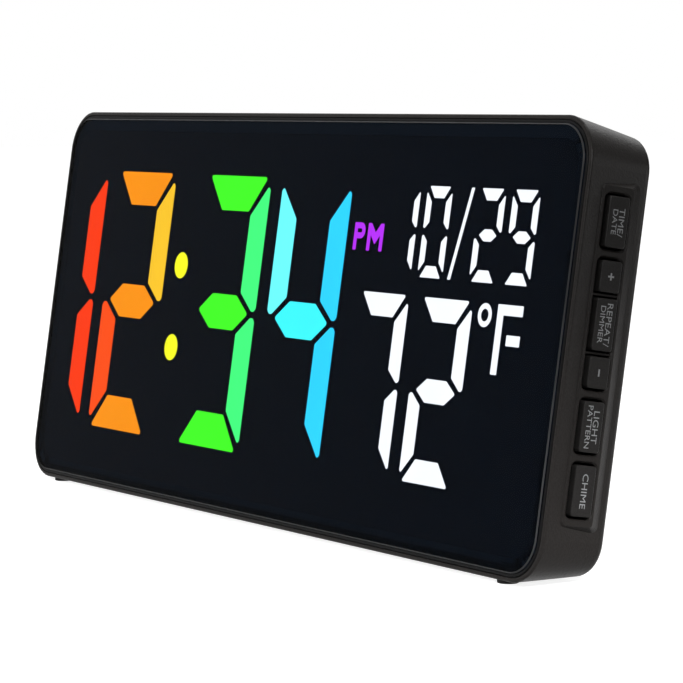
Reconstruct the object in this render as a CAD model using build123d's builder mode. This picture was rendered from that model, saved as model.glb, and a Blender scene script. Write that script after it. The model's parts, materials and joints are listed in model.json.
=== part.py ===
from build123d import *
import os
from math import cos, radians, sin, tan

os.makedirs("parts", exist_ok=True)

# A slim digital clock that leans back on its feet, in millimetres and degrees.
# X runs to the clock's right, Y to its rear and Z up, from the middle of the box's underside.
# Places on the clock are given as x from the lens centre, u up the lens, and depth behind the lens face.

# Lean and draft: every side of the case narrows to the rear by the lean, so the underside is level
lean = 8.5

# Lens and its tape
lens_width = 245.8
lens_height = 100.0
lens_corner = 8.8
lens_thickness = 1.2
lens_bevel = 0.3
lens_gap = 0.15
tape_thickness = 0.45
tape_width = 3.0
tape_inset = 0.25

# Bezel
lens_proud = 0.55
bezel_margin = 0.75
bezel_bead = 0.5
bezel_round = 0.25
skirt_margin = 0.95
ledge_thickness = 1.55
opening_corner = 3.0
opening_gap = 0.6

# Case
case_margin = 2.08
case_depth = 19.8
case_drop = 0.1
wall = 2.0
seat_clearance = 0.1
case_front_round = 0.5
case_back_round = 2.3

# Raised box on the back of the case
box_side = 34.9
box_drop = 28.0
box_depth = 9.5
box_corner = 8.0
box_round = 2.5

# Feet
foot_height = 0.85
foot_radius = 2.5
foot_round = 0.25
front_foot_inset = 13.4
front_foot_depth = 3.65
rear_foot_inset = 16.0
rear_foot_depth = 24.0

# Button plinth on the right side
plinth_height = 75.0
plinth_u = -0.2
plinth_front = 5.3
plinth_ridge = 13.4
plinth_proud = 0.5
plinth_sink = 3.1
plinth_front_run = 2.5
plinth_back_run = 4.6
plinth_end_run = 2.1
plinth_corner = 0.9
plinth_foot_corner = 2.2
plinth_round = 0.2
plinth_wall = 1.8

# Keys: caps on the plinth, from the top downwards
key_width = 5.55
key_depth = 9.3
key_long = 11.3
key_short = 7.0
key_snooze_length = 11.6
key_clearance = 0.55
key_hole_bevel = 0.4
key_split = 1.3
key_web = 0.4
key_web_sink = 0.5
key_divider = 1.75
key_proud = 0.9
key_corner = 0.7
key_round = 0.35
key_lip = 0.9
key_lip_thickness = 0.8
key_lip_gap = 0.1
key_travel = 0.8

# Tact switches and the button board
plunger_radius = 1.7
plunger_proud = 1.2
plunger_clearance = 0.1
plunger_tail = 0.6
switch_size = 6.0
switch_height = 3.5
board_thickness = 1.6
button_board_end_gap = 1.0
button_board_gap = 0.3
rib_thickness = 1.2
rib_height = 4.6
rib_width = 5.0
rib_u = 30.0
rib_clearance = 0.15

# Display: reflector, windows and main board
reflector_side = 11.5
reflector_end = 11.4
reflector_air = 0.05
reflector_thickness = 7.55
reflector_corner = 2.0
brim_gap = 0.1
cell_depth = 5.3
peg_radius = 1.2
peg_clearance = 0.05
peg_inset = 1.7
peg_height = 2.0
board_side = 10.5
board_end = 5.7
board_corner = 1.5

# Digits: the gaps along each row and between the rows, and shares that give the digits their proportions
# The time is counted from the lens's left end, the date and the temperature from its right end
time_margin = 3.1
time_stroke_share = 0.2733
time_u = 0.0
hour_tens_side = 14.05
time_gap = 5.85
colon_lead = 8.6
colon_trail = 8.4
colon_rise = 11.0
colon_radius = 3.5
pm_gap = 3.25
pm_u = 18.7
pm_height = 6.7
pm_stroke = 1.45
pm_p_width = 4.9
pm_bowl = 3.9
pm_m_start = 6.1
pm_m_width = 7.0
pm_valley = 1.6
temp_lead = 9.3
temp_gap = 5.0
temp_stroke_share = 0.258
temp_rise = 1.0
temp_width_share = 0.6517
degree_gap = 2.45
degree_drop = 2.8
degree_radius = 2.75
degree_hole = 1.45
fahrenheit_gap = 2.15
fahrenheit_side = 16.85
fahrenheit_width = 9.9
fahrenheit_height = 16.0
fahrenheit_stroke = 2.45
fahrenheit_arm_start = 4.6
fahrenheit_arm_drop = 6.8
date_side = 15.8
date_gap = 2.8
date_drop = 0.5
date_stroke_share = 0.264
date_width_share = 0.3183
date_height_share = 0.3323
row_gap = 4.5
slash_lead = 5.5
slash_slope = 5.6
slash_stroke = 1.25

# Windows of a digit: shares of its stroke, and what the walls between them take
outer_cut = 0.12
outer_wall = 0.6
mitre_cut = 0.03
tip_in = 0.1
tip_drop = 0.14
tip_wall = 1.15
waist_flat = 0.25
waist_shoulder = 0.5
middle_tip = 0.33
middle_shoulder = 1.06
window_wall = 0.85
upright_wall = 0.5
window_round = 0.07

# Light emitters
led_length = 1.6
led_width = 0.8
led_height = 0.7
led_well_radius = 1.1

# Screws and their posts
screw_side = 7.3
screw_end = 8.0
screw_post_radius = 2.75
screw_radius = 1.4
screw_head_radius = 2.5
screw_head_height = 1.7
screw_length = 11.0
screw_clearance = 0.1
screw_boss_radius = 4.0
screw_recess_radius = 3.0
screw_recess = 2.0
screw_boss_rise = 2.0
board_screw_side = 22.9
board_screw_end = 8.1
board_post_radius = 2.4
board_screw_radius = 1.1
board_screw_head_radius = 2.1
board_screw_head_height = 1.4
board_screw_length = 6.0
cross_length_share = 1.2
cross_width_share = 0.26
cross_depth_share = 0.55

# Chips and other parts on the back of the main board
controller_size = 12.0
controller_height = 1.6
controller_place = (-20.0, 22.0)
driver_length = 18.0
driver_width = 7.5
driver_height = 2.3
driver_places = [(-58.0, 22.0), (30.0, 22.0), (62.0, 22.0)]
crystal_length = 10.0
crystal_radius = 1.6
crystal_x = -2.0
crystal_end = 10.3
buzzer_radius = 6.0
buzzer_height = 5.5
buzzer_side = 24.4
buzzer_end = 14.3
buzzer_port_radius = 1.0
sound_hole_radius = 0.8
sound_hole_ring = 3.4
sound_hole_count = 6
capacitor_radius = 3.15
capacitor_height = 5.4
capacitor_side = 26.4
capacitor_end = 12.3
sensor_length = 3.0
sensor_width = 1.6
sensor_height = 0.9
sensor_side = 14.4
sensor_end = 8.3

# Button header: a right-angled pin row from the main board to the button board
button_header_length = 15.2
button_header_width = 4.0
button_header_height = 2.5
button_header_side = 4.4
button_header_u = -2.0
pin_width = 0.64
pin_pitch = 2.54
pin_count = 6

# Power board behind the main board
power_board_side = 21.0
power_board_height = 34.0
power_board_x = 1.0
power_board_u = -21.0
power_board_gap = 2.6
power_post_radius = 3.0
power_post_places = [(-15.0, -33.0), (40.0, -9.0)]
board_header_length = 10.2
board_header_width = 2.5
board_header_place = (12.0, -30.0)

# Power inlet
jack_side = 30.0
jack_u = -30.0
jack_size = 9.0
jack_snout_radius = 3.8
jack_snout_gap = 0.15
jack_recess = 0.4
jack_bore_radius = 2.75
jack_bore_depth = 9.5
jack_pin_radius = 1.0
jack_pin_short = 1.2

# Coin cell, its well and its cover
cell_side = 43.0
cell_u = -14.0
cell_radius = 10.0
cell_height = 3.2
cell_gap = 0.7
well_wall = 1.5
contact_thickness = 0.4
contact_width = 3.0
contact_plate_radius = 6.0
contact_slot_gap = 0.2
contact_spring_gap = 0.05
cover_radius = 13.0
cover_gap = 0.3
cover_float = 0.1
cover_sink = 0.15
cover_rim_wall = 3.0
lug_reach = 1.2
lug_thickness = 0.9
lug_angle = 16.0
lug_play = 2.0
cover_turn = 45.0
coin_slot_length = 14.0
coin_slot_width = 1.6
coin_slot_depth = 0.9

# Wall hooks: keyholes in the raised box
keyhole_side = 28.0
keyhole_u = 8.0
keyhole_head_radius = 4.25
keyhole_slot_radius = 2.1
keyhole_rise = 8.0

# Sizes and places that follow the lens
box_width = lens_width - 2 * box_side
box_top = lens_height / 2 - box_drop
reflector_width = lens_width - 2 * reflector_side
reflector_height = lens_height - 2 * reflector_end
board_width = lens_width - 2 * board_side
board_height = lens_height - 2 * board_end
screw_x = lens_width / 2 - screw_side
screw_u = lens_height / 2 - screw_end
board_screw_x = lens_width / 2 - board_screw_side
board_screw_u = lens_height / 2 - board_screw_end
button_board_height = 2 * (screw_u - screw_boss_radius - button_board_end_gap)
button_header_x = board_width / 2 - button_header_side
buzzer_place = (buzzer_side - board_width / 2, board_height / 2 - buzzer_end)
crystal_place = (crystal_x, board_height / 2 - crystal_end)
capacitor_place = (board_width / 2 - capacitor_side, board_height / 2 - capacitor_end)
sensor_place = (board_width / 2 - sensor_side, sensor_end - board_height / 2)
power_board_width = box_width - 2 * power_board_side
jack_x = box_width / 2 - jack_side
cell_x = cell_side - box_width / 2
keyhole_spacing = box_width - 2 * keyhole_side

# Digits: the time's first upright and three digits, with the temperature's two, share the lens's width
# less the gaps; the date and the temperature share the time's height
time_gaps = hour_tens_side + 2 * time_gap + colon_lead + colon_trail + temp_lead
mark_width = degree_gap + 2 * degree_radius + fahrenheit_gap + fahrenheit_width + fahrenheit_side
digit_room = lens_width - time_gaps - temp_gap - mark_width + upright_wall
time_width = digit_room / (3 + time_stroke_share + 2 * temp_width_share)
temp_width = time_width * temp_width_share
date_width = time_width * date_width_share
time_stroke = time_width * time_stroke_share
temp_stroke = temp_width * temp_stroke_share
date_stroke = date_width * date_stroke_share
time_height = reflector_height - 2 * time_margin
row_room = time_height - date_drop - row_gap - temp_rise
date_height = row_room * date_height_share
temp_height = row_room - date_height
date_u = time_u + (time_height - date_height) / 2 - date_drop
temp_u = time_u - (time_height - temp_height) / 2 + temp_rise

# Middles of the digits and starts of the marks along their rows
hour_tens_x = hour_tens_side + time_stroke - upright_wall - (lens_width + time_width) / 2
hour_ones_x = hour_tens_x + time_width + time_gap
colon_x = hour_ones_x + time_width / 2 + colon_lead
minute_tens_x = colon_x + colon_trail + time_width / 2
minute_ones_x = minute_tens_x + time_width + time_gap
pm_x = minute_ones_x + time_width / 2 + pm_gap
fahrenheit_x = lens_width / 2 - fahrenheit_side - fahrenheit_width
degree_x = fahrenheit_x - fahrenheit_gap - degree_radius
temp_ones_x = degree_x - degree_radius - degree_gap - temp_width / 2
temp_tens_x = temp_ones_x - temp_width - temp_gap
day_ones_x = lens_width / 2 - date_side - date_width / 2
day_tens_x = day_ones_x - date_width - date_gap
slash_x = day_tens_x - date_width / 2 - slash_lead
month_ones_x = slash_x - slash_lead - date_width / 2
month_tens_x = month_ones_x - date_width - date_gap

# Depths behind the lens face
tilt = radians(lean)
draft = tan(tilt)
bezel_front = lens_proud
bead_back = bezel_front + bezel_bead
case_front = bezel_front + case_drop
ledge_front = lens_thickness + tape_thickness
reflector_front = lens_thickness + reflector_air
ledge_back = ledge_front + ledge_thickness
case_inner_back = case_depth - wall
box_back = case_depth + box_depth
box_inner_back = box_back - wall
board_front = reflector_front + reflector_thickness
board_back = board_front + board_thickness
power_board_front = board_back + power_board_gap
power_board_back = power_board_front + board_thickness
boss_front = case_inner_back - screw_boss_rise


def case_margin_at(depth):
    """How far the case reaches beyond the lens at a depth."""
    return case_margin - draft * (depth - case_front)


def case_bottom_at(depth):
    """Height of the level underside, measured up the lens, at a depth."""
    return -lens_height / 2 - case_margin_at(depth)


# Sideways places of the button stack, measured from the lens centre
plinth_face = lens_width / 2 + case_margin_at(plinth_front) + plinth_proud
key_face = plinth_face + key_proud
lip_outer = plinth_face - plinth_wall - key_lip_gap
lip_inner = lip_outer - key_lip_thickness
switch_top = lip_inner - plunger_proud
button_board_outer = switch_top - switch_height
button_board_inner = button_board_outer - board_thickness

# Place of the lens centre in the standing clock, from the box that holds all of it
round_depth = case_front + case_front_round
case_reach = lens_width / 2 + case_margin_at(round_depth) - case_front_round / cos(tilt) + case_front_round
front_reach = (lens_height / 2 - lens_bevel) * sin(tilt)
round_u = box_top - draft * (box_depth - box_round) - box_round / cos(tilt)
rear_reach = round_u * sin(tilt) + (box_back - box_round) * cos(tilt) + box_round
lens_centre = (
    -(key_face - case_reach) / 2,
    -(rear_reach - front_reach) / 2,
    foot_height - case_bottom_at(case_front) * cos(tilt) + case_front * sin(tilt),
)
rearward = Vector(0, cos(tilt), -sin(tilt))
face = Plane(origin=lens_centre, x_dir=(1, 0, 0), z_dir=-rearward)
toward_viewer = Axis(face.origin, face.z_dir)


def at_depth(depth):
    """Plane parallel to the lens at a depth behind its face; it faces the viewer."""
    return face.offset(-depth)


def across(x):
    """Upright plane facing right at a place along the clock; it counts depth, then u."""
    return Plane(origin=face.origin + Vector(x, 0, 0), x_dir=rearward, z_dir=(1, 0, 0))


def lens_outline(margin):
    """The lens's rounded outline, grown by a margin."""
    return RectangleRounded(lens_width + 2 * margin, lens_height + 2 * margin, lens_corner + margin)


def box_outline(depth, inset):
    """Outline of the raised box at a depth, drawn in by an inset; its underside is the case's."""
    shrink = draft * (depth - case_depth) + inset
    low = case_bottom_at(depth) + inset
    high = box_top - shrink
    with Locations((0, (low + high) / 2)):
        RectangleRounded(box_width - 2 * shrink, high - low, box_corner - inset)


corners = [(sx * screw_x, su * screw_u) for sx in (-1, 1) for su in (-1, 1)]
board_corners = [(sx * board_screw_x, su * board_screw_u) for sx in (-1, 1) for su in (-1, 1)]
keyhole_places = [(-keyhole_spacing / 2, keyhole_u), (keyhole_spacing / 2, keyhole_u)]

# Keys from the top: openings in the plinth, then each cap's middle and length
hole_long = key_long + 2 * key_clearance
hole_shared = 2 * key_short + key_snooze_length + 2 * key_split + 2 * key_clearance
column_height = 3 * hole_long + hole_shared + 3 * key_divider
column_top = plinth_u + column_height / 2
key_holes = []
top = column_top
for length in (hole_long, hole_shared, hole_long, hole_long):
    key_holes.append((top - length / 2, length))
    top = top - length - key_divider
snooze_u = key_holes[1][0]
short_reach = (key_snooze_length + key_short) / 2 + key_split
web_reach = (key_snooze_length + key_split) / 2
web_places = [(key_depth, snooze_u + web_reach), (key_depth, snooze_u - web_reach)]
keys = {
    "set": (key_holes[0][0], key_long),
    "plus": (snooze_u + short_reach, key_short),
    "snooze": (snooze_u, key_snooze_length),
    "minus": (snooze_u - short_reach, key_short),
    "color": (key_holes[2][0], key_long),
    "alarm": (key_holes[3][0], key_long),
}
key_places = [(key_depth, u) for u, length in keys.values()]

# Lens
with BuildPart() as front_lens:
    with BuildSketch(at_depth(lens_thickness)):
        lens_outline(0)
    extrude(amount=lens_thickness)
    chamfer(front_lens.faces().sort_by(toward_viewer)[-1].edges(), length=lens_bevel)
front_lens.part.label = "front_lens"
export_step(front_lens.part, "parts/front_lens.step")

# Adhesive frame between the lens and the bezel's ledge
with BuildPart() as lens_tape:
    with BuildSketch(at_depth(ledge_front)):
        lens_outline(-tape_inset)
        RectangleRounded(
            lens_width - 2 * (tape_inset + tape_width),
            lens_height - 2 * (tape_inset + tape_width),
            lens_corner - tape_inset - tape_width,
            mode=Mode.SUBTRACT,
        )
    extrude(amount=tape_thickness)
lens_tape.part.label = "lens_tape"
export_step(lens_tape.part, "parts/lens_tape.step")

# Bezel: a glossy bead round the lens, a skirt that plugs into the case, a ledge for the lens, and its posts
with BuildPart() as front_bezel:
    with BuildSketch(at_depth(bead_back)):
        lens_outline(bezel_margin)
    extrude(amount=bezel_bead)
    fillet(front_bezel.faces().sort_by(toward_viewer)[-1].edges(), radius=bezel_round)
    with BuildSketch(at_depth(ledge_back)):
        lens_outline(skirt_margin)
    extrude(amount=ledge_back - bead_back)
    with BuildSketch(at_depth(ledge_front)):
        lens_outline(lens_gap)
    extrude(amount=ledge_front, mode=Mode.SUBTRACT)
    with BuildSketch(at_depth(ledge_back)):
        RectangleRounded(
            reflector_width + 2 * opening_gap,
            reflector_height + 2 * opening_gap,
            opening_corner,
        )
    extrude(amount=ledge_thickness, mode=Mode.SUBTRACT)
    with BuildSketch(at_depth(boss_front)):
        with Locations(*corners):
            Circle(screw_post_radius)
    extrude(amount=boss_front - ledge_back)
    with BuildSketch(at_depth(boss_front)):
        with Locations(*corners):
            Circle(screw_radius + screw_clearance)
    extrude(amount=screw_length, mode=Mode.SUBTRACT)
    with BuildSketch(at_depth(board_front)):
        with Locations(*board_corners):
            Circle(board_post_radius)
    extrude(amount=board_front - ledge_back)
    with BuildSketch(at_depth(board_front)):
        with Locations(*board_corners):
            Circle(board_screw_radius + screw_clearance)
    extrude(amount=board_screw_length, mode=Mode.SUBTRACT)
front_bezel.part.label = "front_bezel"
export_step(front_bezel.part, "parts/front_bezel.step")

# Case: drafted tub with the raised box behind it and the button plinth on its right side
well_outer = cover_radius + cover_gap + cover_rim_wall
well_inner = cell_radius + cell_gap
cover_back = box_back - cover_sink
well_ledge = box_back - wall
cell_back = well_ledge - cover_float
cell_front = cell_back - cell_height
well_floor = cell_front - contact_thickness
rib_offset = rib_clearance + rib_thickness / 2
rib_xs = (button_board_inner - rib_offset, button_board_outer + rib_offset)
rib_places = [(x, su * rib_u) for x in rib_xs for su in (-1, 1)]
plinth_start = plinth_front - plinth_front_run
plinth_end = plinth_ridge + plinth_back_run
pocket_back = plinth_ridge + plinth_wall / 2
slot_reach = cover_radius + lug_reach + cover_gap
notch_angle = lug_angle + 2 * lug_play
slot_start = -notch_angle / 2 - cover_turn
with BuildPart() as case_body:
    with BuildSketch(at_depth(case_depth)):
        lens_outline(case_margin_at(case_depth))
    with BuildSketch(at_depth(case_front)):
        lens_outline(case_margin)
    loft(ruled=True)
    fillet(case_body.faces().sort_by(toward_viewer)[0].edges(), radius=case_back_round)
    fillet(case_body.faces().sort_by(toward_viewer)[-1].edges(), radius=case_front_round)
    with BuildSketch(at_depth(box_back)):
        box_outline(box_back, 0)
    with BuildSketch(at_depth(case_inner_back)):
        box_outline(case_inner_back, 0)
    loft(ruled=True)
    fillet(case_body.faces().sort_by(toward_viewer)[0].edges(), radius=box_round)
    with BuildSketch(across(plinth_face - plinth_sink)):
        with Locations(((plinth_start + plinth_end) / 2, plinth_u)):
            RectangleRounded(
                plinth_end - plinth_start,
                plinth_height + 2 * plinth_end_run,
                plinth_foot_corner,
            )
    with BuildSketch(across(plinth_face)):
        with Locations(((plinth_front + plinth_ridge) / 2, plinth_u)):
            RectangleRounded(plinth_ridge - plinth_front, plinth_height, plinth_corner)
    loft(ruled=True)
    fillet(case_body.faces().sort_by(Axis.X)[-1].edges(), radius=plinth_round)
    # Seat of the bezel's skirt, then the hollows of the case and of the raised box
    with BuildSketch(at_depth(ledge_back)):
        lens_outline(skirt_margin + seat_clearance)
    extrude(amount=ledge_back, mode=Mode.SUBTRACT)
    with BuildSketch(at_depth(case_inner_back)):
        lens_outline(case_margin_at(case_inner_back) - wall)
    with BuildSketch(at_depth(ledge_back)):
        lens_outline(case_margin_at(ledge_back) - wall)
    loft(ruled=True, mode=Mode.SUBTRACT)
    with BuildSketch(at_depth(box_inner_back)):
        box_outline(box_inner_back, wall)
    with BuildSketch(at_depth(case_inner_back - wall)):
        box_outline(case_inner_back - wall, wall)
    loft(ruled=True, mode=Mode.SUBTRACT)
    # Flat seat behind the keys, the keys' openings, and the webs between the three keys that share one
    with BuildSketch(across(plinth_face - plinth_wall)):
        with Locations(((ledge_back + pocket_back) / 2, plinth_u)):
            Rectangle(pocket_back - ledge_back, column_height + 2 * key_lip)
    extrude(amount=-plinth_sink, mode=Mode.SUBTRACT)
    with BuildSketch(across(plinth_face)):
        for u, length in key_holes:
            with Locations((key_depth, u)):
                RectangleRounded(key_width + 2 * key_clearance, length, key_corner + key_clearance)
    extrude(amount=-plinth_wall, mode=Mode.SUBTRACT)
    for hole_wire in case_body.faces().sort_by(Axis.X)[-1].inner_wires():
        chamfer(hole_wire.edges(), length=key_hole_bevel)
    with BuildSketch(across(plinth_face - plinth_wall)):
        with Locations(*web_places):
            Rectangle(key_width + 2 * key_clearance, key_web)
    extrude(amount=plinth_wall - key_web_sink)
    # Ribs that hold the button board, bosses for the case screws and posts for the power board
    with BuildSketch(at_depth(case_inner_back)):
        with Locations(*corners):
            Circle(screw_boss_radius)
    extrude(amount=screw_boss_rise)
    with BuildSketch(at_depth(case_inner_back)):
        with Locations(*rib_places):
            Rectangle(rib_thickness, rib_width)
    extrude(amount=rib_height)
    with BuildSketch(at_depth(case_depth)):
        with Locations(*corners):
            Circle(screw_recess_radius)
    extrude(amount=screw_recess, mode=Mode.SUBTRACT)
    with BuildSketch(at_depth(case_depth)):
        with Locations(*corners):
            Circle(screw_radius + screw_clearance)
    extrude(amount=case_depth - boss_front, mode=Mode.SUBTRACT)
    with BuildSketch(at_depth(box_inner_back)):
        with Locations(*power_post_places):
            Circle(power_post_radius)
    extrude(amount=box_inner_back - power_board_back)
    with BuildSketch(at_depth(power_board_back)):
        with Locations(*power_post_places):
            Circle(board_screw_radius + screw_clearance)
    extrude(amount=-board_screw_length, mode=Mode.SUBTRACT)
    # Coin cell well with the seat and the turning slots of its cover
    with BuildSketch(at_depth(box_inner_back)):
        with Locations((cell_x, cell_u)):
            Circle(well_outer)
    extrude(amount=box_inner_back - well_floor + well_wall)
    with BuildSketch(at_depth(box_back)):
        with Locations((cell_x, cell_u)):
            Circle(cover_radius + cover_gap)
    extrude(amount=wall, mode=Mode.SUBTRACT)
    with BuildSketch(at_depth(well_ledge)):
        with Locations((cell_x, cell_u)):
            Circle(well_inner)
    extrude(amount=well_ledge - well_floor, mode=Mode.SUBTRACT)
    with BuildSketch(at_depth(well_ledge)):
        with Locations((cell_x, cell_u)):
            with PolarLocations(0, 2):
                with BuildLine(mode=Mode.PRIVATE) as slot_line:
                    slot_arc = CenterArc((0, 0), slot_reach, slot_start, notch_angle + cover_turn)
                    Line(slot_arc @ 1, (0, 0))
                    Line((0, 0), slot_arc @ 0)
                add(make_face(slot_line.line, mode=Mode.PRIVATE))
    extrude(amount=-lug_thickness - 2 * cover_float, mode=Mode.SUBTRACT)
    with BuildSketch(at_depth(box_back)):
        with Locations((cell_x, cell_u)):
            with PolarLocations(0, 2, start_angle=-cover_turn):
                with BuildLine(mode=Mode.PRIVATE) as notch_line:
                    notch_arc = CenterArc((0, 0), slot_reach, -notch_angle / 2, notch_angle)
                    Line(notch_arc @ 1, (0, 0))
                    Line((0, 0), notch_arc @ 0)
                add(make_face(notch_line.line, mode=Mode.PRIVATE))
    extrude(amount=wall, mode=Mode.SUBTRACT)
    with BuildSketch(at_depth(well_floor)):
        with Locations((cell_x, cell_u)):
            Rectangle(contact_width + 2 * contact_slot_gap, contact_thickness + 2 * contact_slot_gap)
        with Locations((cell_x, cell_u + cell_radius + contact_spring_gap + contact_thickness / 2)):
            Rectangle(contact_width + 2 * contact_slot_gap, contact_thickness + 2 * contact_slot_gap)
    extrude(amount=well_wall, mode=Mode.SUBTRACT)
    # Inlet hole, keyholes and sound holes in the back
    with BuildSketch(at_depth(box_back)):
        with Locations((jack_x, jack_u)):
            Circle(jack_snout_radius + jack_snout_gap)
        with Locations(*keyhole_places):
            Circle(keyhole_head_radius)
            with Locations((0, keyhole_rise / 2)):
                Rectangle(2 * keyhole_slot_radius, keyhole_rise)
            with Locations((0, keyhole_rise)):
                Circle(keyhole_slot_radius)
    extrude(amount=wall, mode=Mode.SUBTRACT)
    with BuildSketch(at_depth(case_depth)):
        with Locations(buzzer_place):
            Circle(sound_hole_radius)
            with PolarLocations(sound_hole_ring, sound_hole_count):
                Circle(sound_hole_radius)
    extrude(amount=wall, mode=Mode.SUBTRACT)
case_body.part.label = "case_body"
export_step(case_body.part, "parts/case_body.step")


def foot_place(x, depth):
    """Middle of a foot on the table, from its place along the clock and its depth."""
    middle = face.from_local_coords((x, case_bottom_at(depth), -depth))
    return (middle.X, middle.Y)


# Rubber feet under the front of the case and under the raised box
front_foot_x = lens_width / 2 - front_foot_inset
rear_foot_x = box_width / 2 - rear_foot_inset
feet = {
    "foot_front_left": foot_place(-front_foot_x, front_foot_depth),
    "foot_front_right": foot_place(front_foot_x, front_foot_depth),
    "foot_rear_left": foot_place(-rear_foot_x, rear_foot_depth),
    "foot_rear_right": foot_place(rear_foot_x, rear_foot_depth),
}
for label, place in feet.items():
    with BuildPart() as foot:
        with BuildSketch(Plane.XY):
            with Locations(place):
                Circle(foot_radius)
        extrude(amount=foot_height)
        fillet(foot.faces().sort_by(Axis.Z)[0].edges(), radius=foot_round)
    foot.part.label = label
    export_step(foot.part, f"parts/{label}.step")

# Keys: cap, retaining lips before and behind it, and the switch plunger that each one presses
for name, (u, length) in keys.items():
    with BuildPart() as key:
        with BuildSketch(across(lip_outer)):
            with Locations((key_depth, u)):
                RectangleRounded(key_width, length, key_corner)
        extrude(amount=key_face - lip_outer)
        fillet(key.faces().sort_by(Axis.X)[-1].edges(), radius=key_round)
        with BuildSketch(across(lip_inner)):
            with Locations((key_depth, u)):
                Rectangle(key_width + 2 * (key_clearance + key_lip), length)
        extrude(amount=key_lip_thickness)
    key.part.label = f"key_{name}"
    export_step(key.part, f"parts/key_{name}.step")

    with BuildPart() as plunger:
        with BuildSketch(across(lip_inner)):
            with Locations((key_depth, u)):
                Circle(plunger_radius)
        extrude(amount=-plunger_proud - plunger_tail)
    plunger.part.label = f"plunger_{name}"
    export_step(plunger.part, f"parts/plunger_{name}.step")

# Tact switch bodies, each with the well that its plunger sinks into
with BuildPart() as key_switches:
    with BuildSketch(across(button_board_outer)):
        with Locations(*key_places):
            Rectangle(switch_size, switch_size)
    extrude(amount=switch_height)
    with BuildSketch(across(switch_top)):
        with Locations(*key_places):
            Circle(plunger_radius + plunger_clearance)
    extrude(amount=-plunger_tail - key_travel - key_lip_gap, mode=Mode.SUBTRACT)
key_switches.part.label = "key_switches"
export_step(key_switches.part, "parts/key_switches.step")

# Button board, upright between the bezel's ledge and the back of the case
button_board_front = ledge_back + button_board_gap
with BuildPart() as button_board:
    with BuildSketch(across(button_board_inner)):
        with Locations(((button_board_front + case_inner_back) / 2, plinth_u)):
            Rectangle(case_inner_back - button_board_front, button_board_height)
    extrude(amount=board_thickness)
button_board.part.label = "button_board"
export_step(button_board.part, "parts/button_board.step")


def mirrored(points, sx, su):
    """Points of a window turned over across the digit's middle lines."""
    return [(sx * x, su * u) for x, u in points]


def seven_windows(x, u, width, height, stroke, letters):
    """Corner points of the named windows of a seven-segment digit about its middle."""
    w = width / 2
    h = height / 2
    s = stroke
    upright_stroke = s - upright_wall
    bar_end = outer_cut * s + outer_wall
    mitre = mitre_cut * s + window_wall
    tip = tip_drop * s + tip_wall
    shoulder = waist_shoulder * s + window_wall
    middle_end = middle_tip * s + window_wall
    middle_side = middle_shoulder * s + window_wall
    bar = [
        (-w + bar_end, h),
        (w - bar_end, h),
        (w - upright_stroke - mitre, h - s),
        (-w + upright_stroke + mitre, h - s),
    ]
    upright = [
        (w - upright_stroke, h - s - mitre),
        (w - tip_in * s, h - tip),
        (w, h - tip - tip_in * s),
        (w, window_wall + tip_in * s),
        (w - tip_in * s, window_wall),
        (w - waist_flat * s, window_wall),
        (w - upright_stroke, shoulder),
    ]
    middle = [
        (-w + middle_end, 0),
        (-w + middle_side, s / 2),
        (w - middle_side, s / 2),
        (w - middle_end, 0),
        (w - middle_side, -s / 2),
        (-w + middle_side, -s / 2),
    ]
    shapes = {
        "a": bar,
        "b": upright,
        "c": mirrored(upright, 1, -1),
        "d": mirrored(bar, 1, -1),
        "e": mirrored(upright, -1, -1),
        "f": mirrored(upright, -1, 1),
        "g": middle,
    }
    return [([(x + px, u + pu) for px, pu in shapes[letter]], window_round * s) for letter in letters]


def time_digit(x, letters):
    return seven_windows(x, time_u, time_width, time_height, time_stroke, letters)


def date_digit(x, letters):
    return seven_windows(x, date_u, date_width, date_height, date_stroke, letters)


def temp_digit(x, letters):
    return seven_windows(x, temp_u, temp_width, temp_height, temp_stroke, letters)


# Windows with straight sides: each is its corner points and the rounding of its corners
half_date = date_height / 2
slash = [
    (slash_x - slash_slope / 2 - slash_stroke / 2, date_u - half_date),
    (slash_x - slash_slope / 2 + slash_stroke / 2, date_u - half_date),
    (slash_x + slash_slope / 2 + slash_stroke / 2, date_u + half_date),
    (slash_x + slash_slope / 2 - slash_stroke / 2, date_u + half_date),
]
temp_top = temp_u + temp_height / 2
arm_top = temp_top - fahrenheit_arm_drop
fahrenheit_stem = [
    (fahrenheit_x, temp_top - fahrenheit_height),
    (fahrenheit_x + fahrenheit_stroke, temp_top - fahrenheit_height),
    (fahrenheit_x + fahrenheit_stroke, temp_top - fahrenheit_stroke),
    (fahrenheit_x + fahrenheit_width, temp_top - fahrenheit_stroke),
    (fahrenheit_x + fahrenheit_width, temp_top),
    (fahrenheit_x, temp_top),
]
fahrenheit_arm = [
    (fahrenheit_x + fahrenheit_arm_start, arm_top - fahrenheit_stroke),
    (fahrenheit_x + fahrenheit_width, arm_top - fahrenheit_stroke),
    (fahrenheit_x + fahrenheit_width, arm_top),
    (fahrenheit_x + fahrenheit_arm_start, arm_top),
]
m_left = pm_x + pm_m_start
m_right = m_left + pm_m_width
m_middle = (m_left + m_right) / 2
pm_top = pm_u + pm_height
letter_m = [
    (m_left, pm_u),
    (m_left + pm_stroke, pm_u),
    (m_left + pm_stroke, pm_top - 2 * pm_stroke),
    (m_middle, pm_u + pm_valley),
    (m_right - pm_stroke, pm_top - 2 * pm_stroke),
    (m_right - pm_stroke, pm_u),
    (m_right, pm_u),
    (m_right, pm_top),
    (m_right - pm_stroke, pm_top),
    (m_middle, pm_u + pm_valley + 2 * pm_stroke),
    (m_left + pm_stroke, pm_top),
    (m_left, pm_top),
]
letter_round = window_round * pm_stroke
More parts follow.
